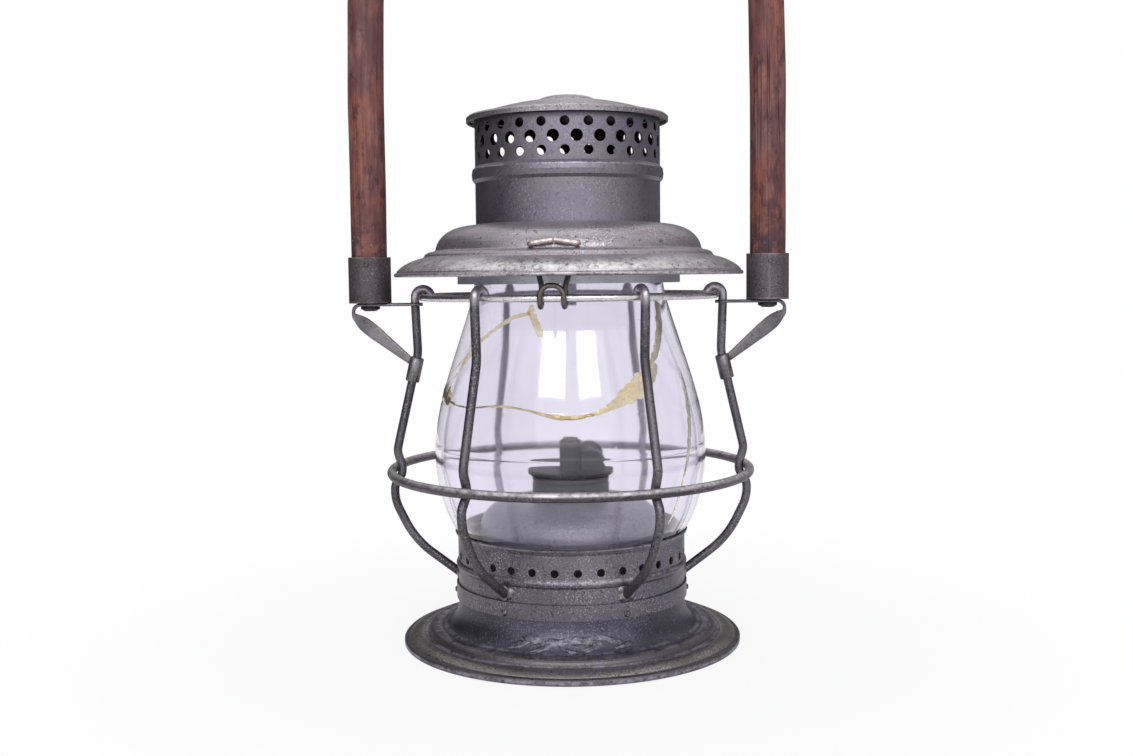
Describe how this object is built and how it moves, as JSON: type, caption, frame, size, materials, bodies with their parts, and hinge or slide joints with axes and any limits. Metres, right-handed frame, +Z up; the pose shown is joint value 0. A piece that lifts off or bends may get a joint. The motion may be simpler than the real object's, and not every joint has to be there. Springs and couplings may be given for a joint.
{
  "type": "railroad lantern",
  "caption": "Wire-guarded oil lantern with a glass globe, a bell base, a perforated chimney hood that hinges open, an oil fount with a wick raiser and a bent wooden bail.",
  "frame": {"origin": "middle of the underside of the base", "axes": "+Z up, -Y towards the hinge of the hood, the bail in the XZ plane"},
  "size_m": [0.1934, 0.1612, 0.3659],
  "materials": {
    "dark_sheet": "tinned sheet steel, dulled and spotted",
    "worn_sheet": "tinned sheet steel, worn and speckled",
    "ferrule_sheet": "brown oxidised sheet steel",
    "guard_wire": "darkened steel wire",
    "bright_wire": "worn steel, bright on its edges",
    "fastener_steel": "dull steel",
    "sooted_metal": "sooted sheet metal",
    "bail_wood": "oiled bent wood, red brown",
    "clear_glass": "clear pressed glass with a lavender tint",
    "wick_cotton": "woven cotton"
  },
  "bodies": {
    "frame": {"base_bell": "dark_sheet", "fount_ring": "dark_sheet", "joint_band": "dark_sheet", "band_rivets": "fastener_steel", "globe_collar": "dark_sheet", "globe_seat": "dark_sheet", "globe": "clear_glass", "top_ring": "bright_wire", "guard_ring": "guard_wire", "guard_wire_1": "guard_wire", "guard_wire_2": "guard_wire", "guard_wire_3": "guard_wire", "guard_wire_4": "guard_wire", "guard_wire_5": "guard_wire", "guard_wire_6": "guard_wire", "ear_left": "bright_wire", "ear_right": "bright_wire", "ferrule_left": "ferrule_sheet", "ferrule_right": "ferrule_sheet", "bail_rivets": "fastener_steel", "ferrule_tacks": "fastener_steel", "bail": "bail_wood"},
    "hood": {"hood_dome": "worn_sheet", "hood_skirt": "worn_sheet", "retainer_plate": "dark_sheet", "chimney_sleeve": "dark_sheet", "vent_band": "dark_sheet", "vent_cap": "worn_sheet", "hinge_wire": "bright_wire", "latch_foot": "bright_wire"},
    "latch": {"latch_leaf": "bright_wire"},
    "fount": {"fount": "dark_sheet", "fount_collar": "fastener_steel", "burner_cup": "sooted_metal", "wick_tube": "sooted_metal", "wheel_box": "sooted_metal"},
    "wick_wheel": {"wick_shaft": "fastener_steel", "spur_wheels": "fastener_steel", "thumb_wheel": "fastener_steel"},
    "wick": {"wick": "wick_cotton"}
  },
  "joints": [
    {"name": "hood_hinge", "type": "hinge", "parent": "frame", "child": "hood", "pos_m": [-0.00634, -0.06351, 0.1514], "axis": [0.9951, -0.0993, 0], "range_deg": [0, 105]},
    {"name": "latch_flex", "type": "hinge", "parent": "hood", "child": "latch", "pos_m": [0, 0.0491, 0.16], "axis": [-1, 0, 0], "range_deg": [0, 8], "stiffness_Nm_per_rad": 0.3},
    {"name": "fount_twist", "type": "hinge", "parent": "frame", "child": "fount", "pos_m": [0, 0, 0.003], "axis": [0, 0, 1], "range_deg": [0, 60]},
    {"name": "wick_knob", "type": "hinge", "parent": "fount", "child": "wick_wheel", "pos_m": [0.0088, 0, 0.0776], "axis": [0, 1, 0], "range_deg": [-75.5, 75.5]},
    {"name": "wick_slide", "type": "slide", "parent": "fount", "child": "wick", "axis": [0, 0, 1], "range_m": [-0.006, 0.006]}
  ],
  "couplings": [
    {"joint": "wick_knob", "follows": "wick_slide", "rad_per_m": 217.39}
  ]
}
